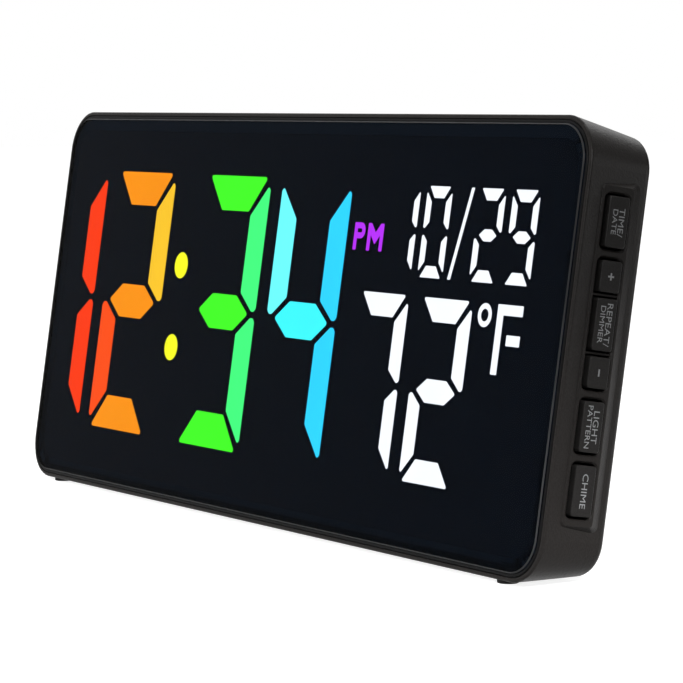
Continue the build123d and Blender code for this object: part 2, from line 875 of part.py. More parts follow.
windows = {
    "hour_tens": time_digit(hour_tens_x, "bc"),
    "hour_ones_left": time_digit(hour_ones_x, "e"),
    "hour_ones_bars": time_digit(hour_ones_x, "agd"),
    "hour_ones_right": time_digit(hour_ones_x, "b"),
    "minute_tens_bars": time_digit(minute_tens_x, "agd"),
    "minute_tens_right": time_digit(minute_tens_x, "bc"),
    "minute_ones_left": time_digit(minute_ones_x, "f"),
    "minute_ones_bar": time_digit(minute_ones_x, "g"),
    "minute_ones_right": time_digit(minute_ones_x, "bc"),
    "month_digits": date_digit(month_tens_x, "bc") + date_digit(month_ones_x, "abcdef"),
    "date_slash": [(slash, window_round * slash_stroke)],
    "day_digits": date_digit(day_tens_x, "abged") + date_digit(day_ones_x, "abcdfg"),
    "temperature_digits": temp_digit(temp_tens_x, "abc") + temp_digit(temp_ones_x, "abged"),
    "fahrenheit_mark": [
        (fahrenheit_stem, window_round * fahrenheit_stroke),
        (fahrenheit_arm, window_round * fahrenheit_stroke),
    ],
    "unlit_windows": (
        time_digit(hour_ones_x, "cf")
        + time_digit(minute_tens_x, "ef")
        + time_digit(minute_ones_x, "ade")
        + date_digit(month_ones_x, "g")
        + date_digit(day_tens_x, "cf")
        + date_digit(day_ones_x, "e")
        + temp_digit(temp_tens_x, "defg")
        + temp_digit(temp_ones_x, "cf")
    ),
}


def window_sketch(outlines):
    """Sketch at the reflector's face of windows with straight sides and rounded corners."""
    with BuildSketch(at_depth(reflector_front)) as drawn:
        for points, radius in outlines:
            with BuildSketch(mode=Mode.PRIVATE) as one:
                Polygon(*points, align=None)
                fillet(one.vertices(), radius=radius)
            add(one.sketch_local)
    return drawn.sketch


def led_place(points):
    """Middle of the box round a window's corners, where its light emitter sits."""
    xs = [x for x, u in points]
    us = [u for x, u in points]
    return ((min(xs) + max(xs)) / 2, (min(us) + max(us)) / 2)


window_sketches = {label: window_sketch(outlines) for label, outlines in windows.items()}
led_places = [led_place(points) for outlines in windows.values() for points, radius in outlines]

# Windows with round sides: the colon, the degree ring and the letters of the afternoon mark
colon_places = [(colon_x, time_u + colon_rise), (colon_x, time_u - colon_rise)]
with BuildSketch(at_depth(reflector_front)) as colon_sketch:
    with Locations(*colon_places):
        Circle(colon_radius)
window_sketches["colon_dots"] = colon_sketch.sketch
led_places += colon_places

degree_place = (degree_x, temp_top - degree_drop)
with BuildSketch(at_depth(reflector_front)) as degree_sketch:
    with Locations(degree_place):
        Circle(degree_radius)
        Circle(degree_hole, mode=Mode.SUBTRACT)
window_sketches["degree_mark"] = degree_sketch.sketch
led_places.append((degree_x + (degree_radius + degree_hole) / 2 + led_well_radius, degree_place[1]))

bowl_u = pm_top - pm_bowl / 2
with BuildSketch(at_depth(reflector_front)) as pm_sketch:
    with Locations((pm_x + pm_stroke / 2, pm_u + pm_height / 2)):
        Rectangle(pm_stroke, pm_height)
    with Locations((pm_x + (pm_p_width - pm_bowl / 2) / 2, bowl_u)):
        Rectangle(pm_p_width - pm_bowl / 2, pm_bowl)
    with Locations((pm_x + pm_p_width - pm_bowl / 2, bowl_u)):
        Circle(pm_bowl / 2)
    with Locations((pm_x + (pm_stroke + pm_p_width - pm_bowl / 2) / 2, bowl_u)):
        Rectangle(pm_p_width - pm_bowl / 2 - pm_stroke, pm_bowl - 2 * pm_stroke, mode=Mode.SUBTRACT)
    with Locations((pm_x + pm_p_width - pm_bowl / 2, bowl_u)):
        Circle(pm_bowl / 2 - pm_stroke, mode=Mode.SUBTRACT)
    with BuildSketch(mode=Mode.PRIVATE) as m_sketch:
        Polygon(*letter_m, align=None)
        fillet(m_sketch.vertices(), radius=letter_round)
    add(m_sketch.sketch_local)
window_sketches["pm_mark"] = pm_sketch.sketch
led_places += [(pm_x + pm_stroke / 2, pm_u), (m_middle, pm_u + pm_valley)]

# Each window is a block of clear resin that fills its cell in the reflector
for label, sketch in window_sketches.items():
    with BuildPart() as window:
        extrude(sketch, amount=-cell_depth)
    window.part.label = label
    export_step(window.part, f"parts/{label}.step")

# Reflector: a brim on the bezel's ledge, cells for the windows, a well behind each for its light emitter,
# and pegs through the board
peg_places = [
    (sx * (reflector_width / 2 - peg_inset), su * (reflector_height / 2 - peg_inset))
    for sx in (-1, 1)
    for su in (-1, 1)
]
with BuildPart() as reflector_block:
    with BuildSketch(at_depth(board_front)):
        RectangleRounded(reflector_width, reflector_height, reflector_corner)
    extrude(amount=reflector_thickness)
    with BuildSketch(at_depth(ledge_front)):
        lens_outline(-tape_inset - tape_width - brim_gap)
    extrude(amount=ledge_front - reflector_front)
    for sketch in window_sketches.values():
        extrude(sketch, amount=-cell_depth, mode=Mode.SUBTRACT)
    with BuildSketch(at_depth(board_front)):
        with Locations(*led_places):
            Circle(led_well_radius)
    extrude(amount=reflector_thickness - cell_depth, mode=Mode.SUBTRACT)
    with BuildSketch(at_depth(board_front)):
        with Locations(*peg_places):
            Circle(peg_radius)
    extrude(amount=-peg_height)
reflector_block.part.label = "reflector_block"
export_step(reflector_block.part, "parts/reflector_block.step")

# Light emitters on the front of the main board
with BuildPart() as segment_leds:
    with BuildSketch(at_depth(board_front)):
        with Locations(*led_places):
            Rectangle(led_length, led_width)
    extrude(amount=led_height)
segment_leds.part.label = "segment_leds"
export_step(segment_leds.part, "parts/segment_leds.step")

# Main board
with BuildPart() as display_board:
    with BuildSketch(at_depth(board_back)):
        RectangleRounded(board_width, board_height, board_corner)
        with Locations(*peg_places):
            Circle(peg_radius + peg_clearance, mode=Mode.SUBTRACT)
        with Locations(*board_corners):
            Circle(board_screw_radius + screw_clearance, mode=Mode.SUBTRACT)
    extrude(amount=board_thickness)
display_board.part.label = "display_board"
export_step(display_board.part, "parts/display_board.step")

# Parts on the back of the main board
with BuildPart() as controller_chip:
    with BuildSketch(at_depth(board_back)):
        with Locations(controller_place):
            Rectangle(controller_size, controller_size)
    extrude(amount=-controller_height)
controller_chip.part.label = "controller_chip"
export_step(controller_chip.part, "parts/controller_chip.step")

with BuildPart() as driver_chips:
    with BuildSketch(at_depth(board_back)):
        with Locations(*driver_places):
            Rectangle(driver_length, driver_width)
    extrude(amount=-driver_height)
driver_chips.part.label = "driver_chips"
export_step(driver_chips.part, "parts/driver_chips.step")

with BuildPart() as clock_crystal:
    with BuildSketch(at_depth(board_back)):
        with Locations(crystal_place):
            SlotOverall(crystal_length, 2 * crystal_radius)
    extrude(amount=-2 * crystal_radius)
clock_crystal.part.label = "clock_crystal"
export_step(clock_crystal.part, "parts/clock_crystal.step")

with BuildPart() as buzzer:
    with BuildSketch(at_depth(board_back)):
        with Locations(buzzer_place):
            Circle(buzzer_radius)
    extrude(amount=-buzzer_height)
    with BuildSketch(at_depth(board_back + buzzer_height)):
        with Locations(buzzer_place):
            Circle(buzzer_port_radius)
    extrude(amount=buzzer_height / 2, mode=Mode.SUBTRACT)
buzzer.part.label = "buzzer"
export_step(buzzer.part, "parts/buzzer.step")

with BuildPart() as filter_capacitor:
    with BuildSketch(at_depth(board_back)):
        with Locations(capacitor_place):
            Circle(capacitor_radius)
    extrude(amount=-capacitor_height)
filter_capacitor.part.label = "filter_capacitor"
export_step(filter_capacitor.part, "parts/filter_capacitor.step")

with BuildPart() as temperature_sensor:
    with BuildSketch(at_depth(board_back)):
        with Locations(sensor_place):
            Rectangle(sensor_length, sensor_width)
    extrude(amount=-sensor_height)
temperature_sensor.part.label = "temperature_sensor"
export_step(temperature_sensor.part, "parts/temperature_sensor.step")

# Right-angled pin row from the main board to the button board
pin_depth = board_back + button_header_height / 2
header_face = button_header_x + button_header_width / 2
pin_places = [(pin_depth, button_header_u + (i - (pin_count - 1) / 2) * pin_pitch) for i in range(pin_count)]
with BuildPart() as button_header:
    with BuildSketch(at_depth(board_back)):
        with Locations((button_header_x, button_header_u)):
            Rectangle(button_header_width, button_header_length)
    extrude(amount=-button_header_height)
    with BuildSketch(across(header_face)):
        with Locations(*pin_places):
            Rectangle(pin_width, pin_width)
    extrude(amount=button_board_inner - header_face)
button_header.part.label = "button_header"
export_step(button_header.part, "parts/button_header.step")

# Power board, its link to the main board, and the inlet
with BuildPart() as power_board:
    with BuildSketch(at_depth(power_board_back)):
        with Locations((power_board_x, power_board_u)):
            RectangleRounded(power_board_width, power_board_height, board_corner)
        with Locations(*power_post_places):
            Circle(board_screw_radius + screw_clearance, mode=Mode.SUBTRACT)
    extrude(amount=board_thickness)
power_board.part.label = "power_board"
export_step(power_board.part, "parts/power_board.step")

with BuildPart() as board_header:
    with BuildSketch(at_depth(power_board_front)):
        with Locations(board_header_place):
            Rectangle(board_header_length, board_header_width)
    extrude(amount=power_board_gap)
board_header.part.label = "board_header"
export_step(board_header.part, "parts/board_header.step")

jack_mouth = box_back - jack_recess
with BuildPart() as power_jack:
    with BuildSketch(at_depth(power_board_back)):
        with Locations((jack_x, jack_u)):
            Rectangle(jack_size, jack_size)
    extrude(amount=power_board_back - box_inner_back)
    with BuildSketch(at_depth(box_inner_back)):
        with Locations((jack_x, jack_u)):
            Circle(jack_snout_radius)
    extrude(amount=box_inner_back - jack_mouth)
    with BuildSketch(at_depth(jack_mouth)):
        with Locations((jack_x, jack_u)):
            Circle(jack_bore_radius)
    extrude(amount=jack_bore_depth, mode=Mode.SUBTRACT)
    with BuildSketch(at_depth(jack_mouth - jack_bore_depth)):
        with Locations((jack_x, jack_u)):
            Circle(jack_pin_radius)
    extrude(amount=jack_pin_short - jack_bore_depth)
power_jack.part.label = "power_jack"
export_step(power_jack.part, "parts/power_jack.step")

# Coin cell, its two contacts and its turning cover
with BuildPart() as coin_cell:
    with BuildSketch(at_depth(cell_back)):
        with Locations((cell_x, cell_u)):
            Circle(cell_radius)
    extrude(amount=cell_height)
coin_cell.part.label = "coin_cell"
export_step(coin_cell.part, "parts/coin_cell.step")

leaf_u = cell_u + cell_radius + contact_spring_gap + contact_thickness / 2
with BuildPart() as battery_contacts:
    with BuildSketch(at_depth(well_floor)):
        with Locations((cell_x, cell_u)):
            Circle(contact_plate_radius)
    extrude(amount=-contact_thickness)
    with BuildSketch(at_depth(well_floor)):
        with Locations((cell_x, cell_u)):
            Rectangle(contact_width, contact_thickness)
    extrude(amount=well_floor - power_board_back)
    with BuildSketch(at_depth(cell_back)):
        with Locations((cell_x, leaf_u)):
            Rectangle(contact_width, contact_thickness)
    extrude(amount=cell_back - power_board_back)
battery_contacts.part.label = "battery_contacts"
export_step(battery_contacts.part, "parts/battery_contacts.step")

lug_front = well_ledge + cover_float
with BuildPart() as battery_cover:
    with BuildSketch(at_depth(cover_back)):
        with Locations((cell_x, cell_u)):
            Circle(cover_radius)
    extrude(amount=cover_back - lug_front)
    with BuildSketch(at_depth(lug_front + lug_thickness)):
        with Locations((cell_x, cell_u)):
            with PolarLocations(0, 2):
                with BuildLine(mode=Mode.PRIVATE) as lug_line:
                    lug_arc = CenterArc((0, 0), cover_radius + lug_reach, -lug_angle / 2, lug_angle)
                    Line(lug_arc @ 1, (0, 0))
                    Line((0, 0), lug_arc @ 0)
                add(make_face(lug_line.line, mode=Mode.PRIVATE))
    extrude(amount=lug_thickness)
    with BuildSketch(at_depth(cover_back)):
        with Locations((cell_x, cell_u)):
            Rectangle(coin_slot_length, coin_slot_width)
    extrude(amount=coin_slot_depth, mode=Mode.SUBTRACT)
battery_cover.part.label = "battery_cover"
export_step(battery_cover.part, "parts/battery_cover.step")

# Screws: place, seat, radius, head radius, head height, length, and the way the head stands out
case_seat = case_depth - screw_recess
large_screw = (screw_radius, screw_head_radius, screw_head_height, screw_length)
small_screw = (board_screw_radius, board_screw_head_radius, board_screw_head_height, board_screw_length)
screws = {
    "case_screws": (corners, case_seat, large_screw, -1),
    "board_screws": (board_corners, board_back, small_screw, -1),
    "power_board_screws": (power_post_places, power_board_front, small_screw, 1),
}
for label, (places, seat, (radius, head_radius, head_height, length), side) in screws.items():
    with BuildPart() as screw_set:
        with BuildSketch(at_depth(seat)):
            with Locations(*places):
                Circle(head_radius)
        extrude(amount=side * head_height)
        with BuildSketch(at_depth(seat)):
            with Locations(*places):
                Circle(radius)
        extrude(amount=-side * length)
        with BuildSketch(at_depth(seat - side * head_height)):
            with Locations(*places):
                Rectangle(cross_length_share * head_radius, cross_width_share * head_radius)
                Rectangle(cross_width_share * head_radius, cross_length_share * head_radius)
        extrude(amount=-side * cross_depth_share * head_height, mode=Mode.SUBTRACT)
    screw_set.part.label = label
    export_step(screw_set.part, f"parts/{label}.step")
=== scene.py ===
"""Finishes, key legends and studio stage for a digital clock, laid out as an add-on and run as a script."""

import json
import math

import bmesh
import bpy
from bpy.props import FloatProperty, FloatVectorProperty, PointerProperty
from bpy.types import Operator, Panel, PropertyGroup
from mathutils import Matrix, Vector


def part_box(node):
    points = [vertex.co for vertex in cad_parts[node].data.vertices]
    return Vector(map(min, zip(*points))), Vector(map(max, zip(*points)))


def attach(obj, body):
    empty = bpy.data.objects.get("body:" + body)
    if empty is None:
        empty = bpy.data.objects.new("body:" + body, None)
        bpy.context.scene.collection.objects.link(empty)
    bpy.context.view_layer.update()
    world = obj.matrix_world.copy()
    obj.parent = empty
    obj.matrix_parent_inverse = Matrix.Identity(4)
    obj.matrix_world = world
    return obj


bl_info = {
    "name": "Digital clock",
    "version": (1, 0, 0),
    "blender": (4, 5, 0),
    "location": "View3D > Sidebar > Clock",
    "description": "Finishes, key legends and studio stage for a leaning digital clock",
    "category": "Object",
}

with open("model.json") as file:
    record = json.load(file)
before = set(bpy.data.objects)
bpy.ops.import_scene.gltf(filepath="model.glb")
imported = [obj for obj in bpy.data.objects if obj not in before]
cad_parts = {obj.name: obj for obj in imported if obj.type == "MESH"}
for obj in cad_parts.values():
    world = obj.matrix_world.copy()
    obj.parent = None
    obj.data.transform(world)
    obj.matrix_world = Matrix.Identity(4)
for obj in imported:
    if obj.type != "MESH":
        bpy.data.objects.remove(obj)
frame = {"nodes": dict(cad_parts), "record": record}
NODES = frame["nodes"]
SLOTS = {row["node"]: row["material_slot"] for row in frame["record"]["subparts"]}
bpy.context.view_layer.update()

# Axes of the lens, which leans back: x to the right, u up its face, depth to the rear
LEAN = math.radians(8.5)
RIGHT = Vector((1.0, 0.0, 0.0))
UPWARD = Vector((0.0, math.sin(LEAN), math.cos(LEAN)))
REARWARD = Vector((0.0, math.cos(LEAN), -math.sin(LEAN)))

# Middle of the lens's face, from the lens's box and the bevel round the face, in metres
LENS_HEIGHT = 0.1
LENS_BEVEL = 0.0003
LENS_LOW, LENS_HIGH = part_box("front_lens")
LENS_CENTRE = Vector(
    (
        (LENS_LOW.x + LENS_HIGH.x) / 2,
        LENS_LOW.y + (LENS_HEIGHT / 2 - LENS_BEVEL) * UPWARD.y,
        LENS_HIGH.z - LENS_HEIGHT / 2 * UPWARD.z - LENS_BEVEL * REARWARD.z,
    )
)


def on_clock(x, u, depth):
    """Point of the standing clock from its place on the lens axes, in millimetres."""
    return LENS_CENTRE + (RIGHT * x + UPWARD * u + REARWARD * depth) / 1000.0


# Legends of the keys: lines of plain words, the first line nearest the rear, or a sign's number of arms
LEGENDS = {
    "set": ("TIME/", "DATE"),
    "snooze": ("REPEAT/", "DIMMER"),
    "color": ("LIGHT", "PATTERN"),
    "alarm": ("CHIME",),
}
SIGNS = {"plus": 4, "minus": 2}

# Lit windows and the colour that each group shows, as screen values
WINDOW_COLOURS = {
    "light_red": (1.0, 0.225, 0.0),
    "light_vermilion": (1.0, 0.31, 0.04),
    "light_orange": (1.0, 0.58, 0.02),
    "light_amber": (1.0, 0.784, 0.15),
    "light_yellow": (1.0, 1.0, 0.12),
    "light_green": (0.265, 1.0, 0.13),
    "light_mint": (0.27, 1.0, 0.485),
    "light_ice": (0.44, 1.0, 1.0),
    "light_cyan": (0.25, 0.98, 1.0),
    "light_sky": (0.18, 0.84, 1.0),
    "light_violet": (0.73, 0.19, 0.94),
    "light_white": (1.0, 1.0, 1.0),
}

# Area lamps, in metres: where each hangs, what it is aimed at, its width and its height
LAMPS = {
    "soft_box": ((0.1, -0.02, 0.9), (0.06, 0.0, 0.06), 0.22, 0.22),
    "front_box": ((-0.2, -1.0, 0.5), (0.0, 0.0, 0.05), 0.5, 0.5),
    "side_box": ((0.595, 0.705, 0.14), (0.12, 0.0, 0.05), 0.15, 0.26),
    "rear_glint": ((-0.45, 0.75, 0.85), (0.12, 0.0, 0.1), 0.7, 0.7),
    "ridge_glint": ((0.21, 0.348, 0.06), (0.12, 0.0, 0.05), 0.03, 0.15),
    "corner_glint": ((0.75, -0.53, 0.47), (0.12, 0.0, 0.1), 0.3, 0.3),
}
GLINT_SHARES = {"rear_glint": 1.3, "ridge_glint": 1 / 16, "corner_glint": 5.0}
LOW_SPOT_PLACE = (0.5, -0.1, 0.3)
LOW_SPOT_AIM = (0.124, -0.005, 0.0)
LOW_SPOT_POOL = 0.045
SPOT_RADIUS = 0.03

# Sheets of the stage, in metres, and how bright the floor looks
FLOOR_HALF = 6.0
FLOOR_LEVEL = 0.86
FLAG_PLACE = (0.05, 0.42, 0.12)
FLAG_HALF_WIDTH = 0.27
FLAG_HALF_HEIGHT = 0.135

# Camera: its place on the lens axes in millimetres, and its directions along x, depth and u
CAMERA_PLACE = (664.5, -4.71, -395.7)
CAMERA_ACROSS = Vector((0.5273, 0.8403, 0.1256))
CAMERA_DOWN = Vector((0.0658, 0.107, -0.9921))
CAMERA_ONWARD = Vector((-0.8471, 0.5314, 0.0011))

# Grain of moulded pieces: colour of its pits and tops against the plain one (painted shade in the pits,
# painted light on the tops), bump and spread of roughness
GRAIN_PIT_SHADE = 0.65
GRAIN_TOP_LIGHT = 1.22
GRAIN_BUMP = 0.35
ROUGHNESS_SPREAD = 0.05

# Colour sockets of a Mix node, by number because each data type repeats their names
MIX_LOW, MIX_HIGH, MIX_RESULT = 6, 7, 2


def linear(colour):
    """Screen colour as scene-linear values."""
    return tuple(c / 12.92 if c <= 0.04045 else ((c + 0.055) / 1.055) ** 2.4 for c in colour)


# Properties


class ClockFinish(PropertyGroup):
    """Colours and textures of the clock's surfaces."""

    case_colour: FloatVectorProperty(
        name="Case",
        description="Colour of the matte case",
        subtype="COLOR",
        size=3,
        min=0.0,
        max=1.0,
        default=(0.0146, 0.0131, 0.0123),
    )
    key_colour: FloatVectorProperty(
        name="Keys",
        description="Colour of the side keys",
        subtype="COLOR",
        size=3,
        min=0.0,
        max=1.0,
        default=(0.0155, 0.0147, 0.0142),
    )
    bezel_colour: FloatVectorProperty(
        name="Bezel",
        description="Colour of the glossy ring round the lens",
        subtype="COLOR",
        size=3,
        min=0.0,
        max=1.0,
        default=(0.007, 0.007, 0.0074),
    )
    lens_tint: FloatVectorProperty(
        name="Lens",
        description="Tint of the smoked lens",
        subtype="COLOR",
        size=3,
        min=0.0,
        max=1.0,
        default=(0.24, 0.25, 0.27),
    )
    legend_colour: FloatVectorProperty(
        name="Legends",
        description="Colour of the printed key legends",
        subtype="COLOR",
        size=3,
        min=0.0,
        max=1.0,
        default=(0.2, 0.205, 0.21),
    )
    grain_size: FloatProperty(
        name="Grain",
        description="Size of the case's moulded grain",
        unit="LENGTH",
        min=0.00005,
        max=0.002,
        default=0.0005,
    )
    window_strength: FloatProperty(
        name="Windows",
        description="Light strength of the lit windows behind the lens",
        min=0.0,
        max=50.0,
        default=4.2,
    )


class ClockEdge(PropertyGroup):
    """The bevelled edge of the lens, laid over as a band whose lighter colour is a painted highlight."""

    lens_height: FloatProperty(
        name="Lens height",
        description="Height of the lens, measured up its face",
        unit="LENGTH",
        min=0.01,
        max=1.0,
        default=LENS_HEIGHT,
    )
    corner: FloatProperty(
        name="Corner",
        description="Radius of the lens's corners",
        unit="LENGTH",
        min=0.0001,
        max=0.1,
        default=0.0088,
    )
    bevel: FloatProperty(
        name="Bevel",
        description="Width of the bevel round the lens's face",
        unit="LENGTH",
        min=0.00005,
        max=0.005,
        default=LENS_BEVEL,
    )
    skin: FloatProperty(
        name="Skin",
        description="How far the edge's polish stands off the bevel",
        unit="LENGTH",
        min=0.000005,
        max=0.001,
        default=0.00002,
    )
    # The edge's colour is lighter than the case and bezel: a painted highlight of the bevel
    colour: FloatVectorProperty(
        name="Colour",
        description="Colour of the ground edge",
        subtype="COLOR",
        size=3,
        min=0.0,
        max=1.0,
        default=(0.036, 0.037, 0.039),
    )


class ClockLegend(PropertyGroup):
    """Sizes of the printed key legends."""

    first_height: FloatProperty(
        name="First line",
        description="Height of the capitals in a legend's first line",
        unit="LENGTH",
        min=0.0002,
        max=0.01,
        default=0.0015,
    )
    second_height: FloatProperty(
        name="Second line",
        description="Height of the capitals in a legend's second line",
        unit="LENGTH",
        min=0.0002,
        max=0.01,
        default=0.0013,
    )
    line_gap: FloatProperty(
        name="Line gap",
        description="Space between a legend's two lines",
        unit="LENGTH",
        min=0.0,
        max=0.01,
        default=0.0004,
    )
    stretch: FloatProperty(
        name="Stretch",
        description="Width of the letters against those of the plain font",
        min=0.5,
        max=2.0,
        default=1.2,
    )
    sign_span: FloatProperty(
        name="Sign span",
        description="Length of the bars of the plus and minus signs",
        unit="LENGTH",
        min=0.0002,
        max=0.01,
        default=0.0016,
    )
    sign_stroke: FloatProperty(
        name="Sign stroke",
        description="Width of the bars of the plus and minus signs",
        unit="LENGTH",
        min=0.0001,
        max=0.01,
        default=0.00038,
    )
    relief: FloatProperty(
        name="Relief",
        description="Thickness of the printed ink",
        unit="LENGTH",
        min=0.0,
        max=0.001,
        default=0.00002,
    )


class ClockStage(PropertyGroup):
    """Lamps, floor and camera."""

    soft_box_power: FloatProperty(
        name="Soft box",
        description="Power of the large soft box above the clock",
        subtype="POWER",
        min=0.0,
        default=4.0,
    )
    front_box_power: FloatProperty(
        name="Front box",
        description="Power of the matte fill in front of the clock",
        subtype="POWER",
        min=0.0,
        default=7.0,
    )
    side_box_power: FloatProperty(
        name="Side box",
        description="Power of the tall box at the clock's right",
        subtype="POWER",
        min=0.0,
        default=0.7,
    )
    low_spot_power: FloatProperty(
        name="Low spot",
        description="Power of the soft spot on the lower end of the keys' side",
        subtype="POWER",
        min=0.0,
        default=15.5,
    )
    glint_power: FloatProperty(
        name="Glints",
        description="Power of the lamps that show only as highlights on the edges",
        subtype="POWER",
        min=0.0,
        default=2.5,
    )
    fill_level: FloatProperty(
        name="Fill",
        description="Light level of the surroundings",
        min=0.0,
        max=2.0,
        default=0.35,
    )
    focal_length: FloatProperty(
        name="Focal length",
        description="Focal length of the camera",
        unit="CAMERA",
        min=1.0,
        default=161.8,
    )


# Node groups


def shared_group(name, inputs, outputs):
    """An empty shader group with named float inputs and outputs."""
    group = bpy.data.node_groups.new(name, "ShaderNodeTree")
    for label, default in inputs:
        socket = group.interface.new_socket(label, in_out="INPUT", socket_type="NodeSocketFloat")
        socket.default_value = default
    for label in outputs:
        group.interface.new_socket(label, in_out="OUTPUT", socket_type="NodeSocketFloat")
    return group, group.nodes.new("NodeGroupInput"), group.nodes.new("NodeGroupOutput")


def moulded_grain():
    """Fine spark-eroded grain with a slow mottle, for moulded plastic and rubber."""
    name = "Moulded grain"
    if name in bpy.data.node_groups:
        return bpy.data.node_groups[name]
    group, given, result = shared_group(name, [("Grains per metre", 3500.0)], ["Height", "Mottle"])
    nodes, links = group.nodes, group.links
    place = nodes.new("ShaderNodeTexCoord")
    fine = nodes.new("ShaderNodeTexNoise")
    fine.inputs["Detail"].default_value = 3.0
    fine.inputs["Roughness"].default_value = 0.6
    cells = nodes.new("ShaderNodeTexVoronoi")
    slow = nodes.new("ShaderNodeTexNoise")
    slow.inputs["Scale"].default_value = 60.0
    slow.inputs["Detail"].default_value = 4.0
    blend = nodes.new("ShaderNodeMath")
    blend.operation = "MULTIPLY_ADD"
    blend.inputs[1].default_value = 0.5
    for texture in (fine, cells):
        links.new(place.outputs["Object"], texture.inputs["Vector"])
        links.new(given.outputs["Grains per metre"], texture.inputs["Scale"])
    links.new(place.outputs["Object"], slow.inputs["Vector"])
    links.new(cells.outputs["Distance"], blend.inputs[0])
    links.new(fine.outputs["Fac"], blend.inputs[2])
    links.new(blend.outputs[0], result.inputs["Height"])
    links.new(slow.outputs["Fac"], result.inputs["Mottle"])
    return group


def handling_marks():
    """Faint smears and specks left on polished surfaces by wiping."""
    name = "Handling marks"
    if name in bpy.data.node_groups:
        return bpy.data.node_groups[name]
    group, given, result = shared_group(name, [("Smears per metre", 40.0)], ["Marks"])
    nodes, links = group.nodes, group.links
    place = nodes.new("ShaderNodeTexCoord")
    stretch = nodes.new("ShaderNodeMapping")
    stretch.inputs["Scale"].default_value = (1.0, 1.0, 0.25)
    stretch.inputs["Rotation"].default_value = (0.0, math.radians(28.0), 0.0)
    smear = nodes.new("ShaderNodeTexNoise")
    smear.inputs["Detail"].default_value = 6.0
    smear.inputs["Roughness"].default_value = 0.65
    specks = nodes.new("ShaderNodeTexNoise")
    specks.inputs["Scale"].default_value = 2200.0
    clip = nodes.new("ShaderNodeMapRange")
    clip.inputs["From Min"].default_value = 0.66
    clip.inputs["From Max"].default_value = 0.78
    soften = nodes.new("ShaderNodeMapRange")
    soften.inputs["From Min"].default_value = 0.42
    soften.inputs["From Max"].default_value = 0.75
    total = nodes.new("ShaderNodeMath")
    total.operation = "MAXIMUM"
    links.new(place.outputs["Object"], stretch.inputs["Vector"])
    links.new(stretch.outputs["Vector"], smear.inputs["Vector"])
    links.new(given.outputs["Smears per metre"], smear.inputs["Scale"])
    links.new(place.outputs["Object"], specks.inputs["Vector"])
    links.new(specks.outputs["Fac"], clip.inputs["Value"])
    links.new(smear.outputs["Fac"], soften.inputs["Value"])
    links.new(soften.outputs["Result"], total.inputs[0])
    links.new(clip.outputs["Result"], total.inputs[1])
    links.new(total.outputs[0], result.inputs["Marks"])
    return group


def drawn_lines():
    """Fine parallel lines of rolled or drawn metal."""
    name = "Drawn lines"
    if name in bpy.data.node_groups:
        return bpy.data.node_groups[name]
    group, given, result = shared_group(name, [("Lines per metre", 4000.0)], ["Lines"])
    nodes, links = group.nodes, group.links
    place = nodes.new("ShaderNodeTexCoord")
    stretch = nodes.new("ShaderNodeMapping")
    stretch.inputs["Scale"].default_value = (0.03, 1.0, 1.0)
    noise = nodes.new("ShaderNodeTexNoise")
    noise.inputs["Detail"].default_value = 2.0
    links.new(place.outputs["Object"], stretch.inputs["Vector"])
    links.new(stretch.outputs["Vector"], noise.inputs["Vector"])
    links.new(given.outputs["Lines per metre"], noise.inputs["Scale"])
    links.new(noise.outputs["Fac"], result.inputs["Lines"])
    return group


# Materials


class Finish:
    """A material under construction: its shader and short ways to add nodes."""

    def __init__(self, name):
        self.material = bpy.data.materials.new(name)
        self.material.use_nodes = True
        self.nodes = self.material.node_tree.nodes
        self.links = self.material.node_tree.links
        self.shader = self.nodes["Principled BSDF"]

    def set(self, **values):
        """Plain values of the shader's sockets."""
        for label, value in values.items():
            self.shader.inputs[label.replace("_", " ")].default_value = value
        return self

    def group(self, tree, **values):
        """A shared group placed in the material with its own values."""
        node = self.nodes.new("ShaderNodeGroup")
        node.node_tree = tree
        for label, value in values.items():
            node.inputs[label.replace("_", " ")].default_value = value
        return node

    def blend_colour(self, mask, low, high, socket="Base Color"):
        """A shader colour that goes from low to high with a mask."""
        mix = self.nodes.new("ShaderNodeMix")
        mix.data_type = "RGBA"
        mix.inputs[MIX_LOW].default_value = (*low, 1.0)
        mix.inputs[MIX_HIGH].default_value = (*high, 1.0)
        self.links.new(mask, mix.inputs["Factor"])
        self.links.new(mix.outputs[MIX_RESULT], self.shader.inputs[socket])
        return self

    def spread(self, mask, socket, low, high):
        """A shader value that goes from low to high with a mask."""
        span = self.nodes.new("ShaderNodeMapRange")
        span.inputs["To Min"].default_value = low
        span.inputs["To Max"].default_value = high
        self.links.new(mask, span.inputs["Value"])
        self.links.new(span.outputs["Result"], self.shader.inputs[socket])
        return self

    def bump(self, height, strength, distance):
        """Surface relief from a height mask."""
        relief = self.nodes.new("ShaderNodeBump")
        relief.inputs["Strength"].default_value = strength
        relief.inputs["Distance"].default_value = distance
        self.links.new(height, relief.inputs["Height"])
        self.links.new(relief.outputs["Normal"], self.shader.inputs["Normal"])
        return self


def lighter(colour, factor):
    """Colour times a factor, kept within white."""
    return tuple(min(1.0, c * factor) for c in colour)


def grained_plastic(name, colour, grain, roughness, relief, specular):
    """Moulded plastic or rubber with a fine grain."""
    finish = Finish(name)
    marks = finish.group(moulded_grain(), Grains_per_metre=1.0 / grain)
    finish.set(Specular_IOR_Level=specular)
    # Pits darker and tops lighter: painted shade and light of the grain's relief
    finish.blend_colour(marks.outputs["Height"], lighter(colour, GRAIN_PIT_SHADE), lighter(colour, GRAIN_TOP_LIGHT))
    low, high = roughness - ROUGHNESS_SPREAD, roughness + ROUGHNESS_SPREAD
    finish.spread(marks.outputs["Mottle"], "Roughness", low, high)
    finish.bump(marks.outputs["Height"], GRAIN_BUMP, relief)
    return finish.material


